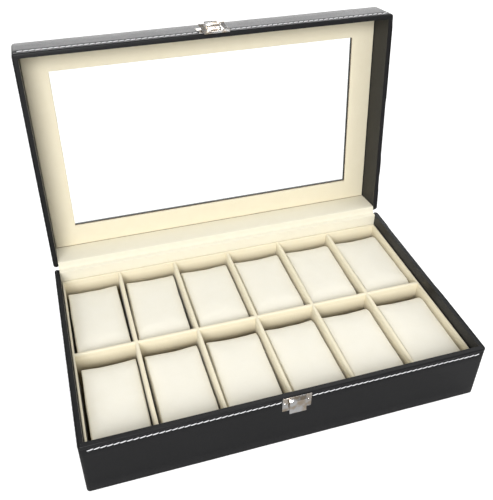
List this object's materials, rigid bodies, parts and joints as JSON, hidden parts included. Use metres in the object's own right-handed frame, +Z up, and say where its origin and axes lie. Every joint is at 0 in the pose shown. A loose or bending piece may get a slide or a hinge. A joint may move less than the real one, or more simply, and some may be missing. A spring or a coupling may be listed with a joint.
{
  "type": "watch box",
  "caption": "Leather-covered watch box with a hinged glazed lid, a divided tray of lift-out pillows and a toggle latch.",
  "frame": {"origin": "centre of the base's underside, where the box rests", "axes": "+X along the box's long side, +Y from the clasp at the front to the hinge at the back, +Z up"},
  "size_m": [0.3, 0.2373, 0.2371],
  "materials": {
    "black_leather": "black leatherette, fine grain, low sheen",
    "wood_board": "raw fibreboard",
    "black_felt": "black flock paper",
    "cream_panel": "cream suede cloth over card",
    "cream_lining": "cream suede cloth",
    "cream_suede": "cream suede cloth over foam",
    "clasp_chrome": "polished plate",
    "window_glass": "clear float glass",
    "grey_card": "grey card",
    "white_thread": "white sewing thread"
  },
  "bodies": {
    "base": {"base_front_board": "wood_board", "base_back_board": "wood_board", "base_left_board": "wood_board", "base_right_board": "wood_board", "base_bottom_board": "wood_board", "base_cover": "black_leather", "underside_felt": "black_felt", "floor_lining": "cream_lining", "base_lining": "cream_lining", "base_spine": "black_leather", "tray_front_panel": "cream_panel", "tray_back_panel": "cream_panel", "tray_left_panel": "cream_panel", "tray_right_panel": "cream_panel", "long_divider": "cream_panel", "short_divider_1": "cream_panel", "short_divider_2": "cream_panel", "short_divider_3": "cream_panel", "short_divider_4": "cream_panel", "short_divider_5": "cream_panel", "catch_plate": "clasp_chrome", "catch_nails": "clasp_chrome"},
    "lid": {"lid_front_board": "wood_board", "lid_back_board": "wood_board", "lid_left_board": "wood_board", "lid_right_board": "wood_board", "lid_top_board": "wood_board", "lid_cover": "black_leather", "glass_pane": "window_glass", "glass_spacer": "grey_card", "lid_inner_frame": "cream_panel", "lid_lining": "cream_lining", "lid_spine": "black_leather", "clasp_plate": "clasp_chrome", "clasp_nails": "clasp_chrome", "clasp_pin": "clasp_chrome"},
    "clasp_lever": {"clasp_lever": "clasp_chrome"},
    "clasp_ring": {"clasp_ring": "clasp_chrome"},
    "pillow_front_1": {"pillow_front_1": "cream_suede"},
    "pillow_front_2": {"pillow_front_2": "cream_suede"},
    "pillow_front_3": {"pillow_front_3": "cream_suede"},
    "pillow_front_4": {"pillow_front_4": "cream_suede"},
    "pillow_front_5": {"pillow_front_5": "cream_suede"},
    "pillow_front_6": {"pillow_front_6": "cream_suede"},
    "pillow_back_1": {"pillow_back_1": "cream_suede"},
    "pillow_back_2": {"pillow_back_2": "cream_suede"},
    "pillow_back_3": {"pillow_back_3": "cream_suede"},
    "pillow_back_4": {"pillow_back_4": "cream_suede"},
    "pillow_back_5": {"pillow_back_5": "cream_suede"},
    "pillow_back_6": {"pillow_back_6": "cream_suede"}
  },
  "joints": [
    {"name": "lid_hinge", "type": "hinge", "parent": "base", "child": "lid", "pos_m": [0, 0.0922, 0.0508], "axis": [-1, 0, 0], "range_deg": [-96.75, 0]},
    {"name": "clasp_lever_pivot", "type": "hinge", "parent": "lid", "child": "clasp_lever", "pos_m": [0, 0.12006, 0.23601], "axis": [1, 0, 0], "range_deg": [0, 160]},
    {"name": "clasp_ring_pivot", "type": "hinge", "parent": "clasp_lever", "child": "clasp_ring", "pos_m": [0, 0.12631, 0.23517], "axis": [1, 0, 0], "range_deg": [-176, 0]},
    {"name": "pillow_front_1_lift", "type": "slide", "parent": "base", "child": "pillow_front_1", "axis": [0, 0, 1], "range_m": [0, 0.05]},
    {"name": "pillow_front_2_lift", "type": "slide", "parent": "base", "child": "pillow_front_2", "axis": [0, 0, 1], "range_m": [0, 0.05]},
    {"name": "pillow_front_3_lift", "type": "slide", "parent": "base", "child": "pillow_front_3", "axis": [0, 0, 1], "range_m": [0, 0.05]},
    {"name": "pillow_front_4_lift", "type": "slide", "parent": "base", "child": "pillow_front_4", "axis": [0, 0, 1], "range_m": [0, 0.05]},
    {"name": "pillow_front_5_lift", "type": "slide", "parent": "base", "child": "pillow_front_5", "axis": [0, 0, 1], "range_m": [0, 0.05]},
    {"name": "pillow_front_6_lift", "type": "slide", "parent": "base", "child": "pillow_front_6", "axis": [0, 0, 1], "range_m": [0, 0.05]},
    {"name": "pillow_back_1_lift", "type": "slide", "parent": "base", "child": "pillow_back_1", "axis": [0, 0, 1], "range_m": [0, 0.05]},
    {"name": "pillow_back_2_lift", "type": "slide", "parent": "base", "child": "pillow_back_2", "axis": [0, 0, 1], "range_m": [0, 0.05]},
    {"name": "pillow_back_3_lift", "type": "slide", "parent": "base", "child": "pillow_back_3", "axis": [0, 0, 1], "range_m": [0, 0.05]},
    {"name": "pillow_back_4_lift", "type": "slide", "parent": "base", "child": "pillow_back_4", "axis": [0, 0, 1], "range_m": [0, 0.05]},
    {"name": "pillow_back_5_lift", "type": "slide", "parent": "base", "child": "pillow_back_5", "axis": [0, 0, 1], "range_m": [0, 0.05]},
    {"name": "pillow_back_6_lift", "type": "slide", "parent": "base", "child": "pillow_back_6", "axis": [0, 0, 1], "range_m": [0, 0.05]}
  ],
  "couplings": [
    {"joint": "clasp_ring_pivot", "follows": "clasp_lever_pivot", "ratio": -1.1}
  ]
}
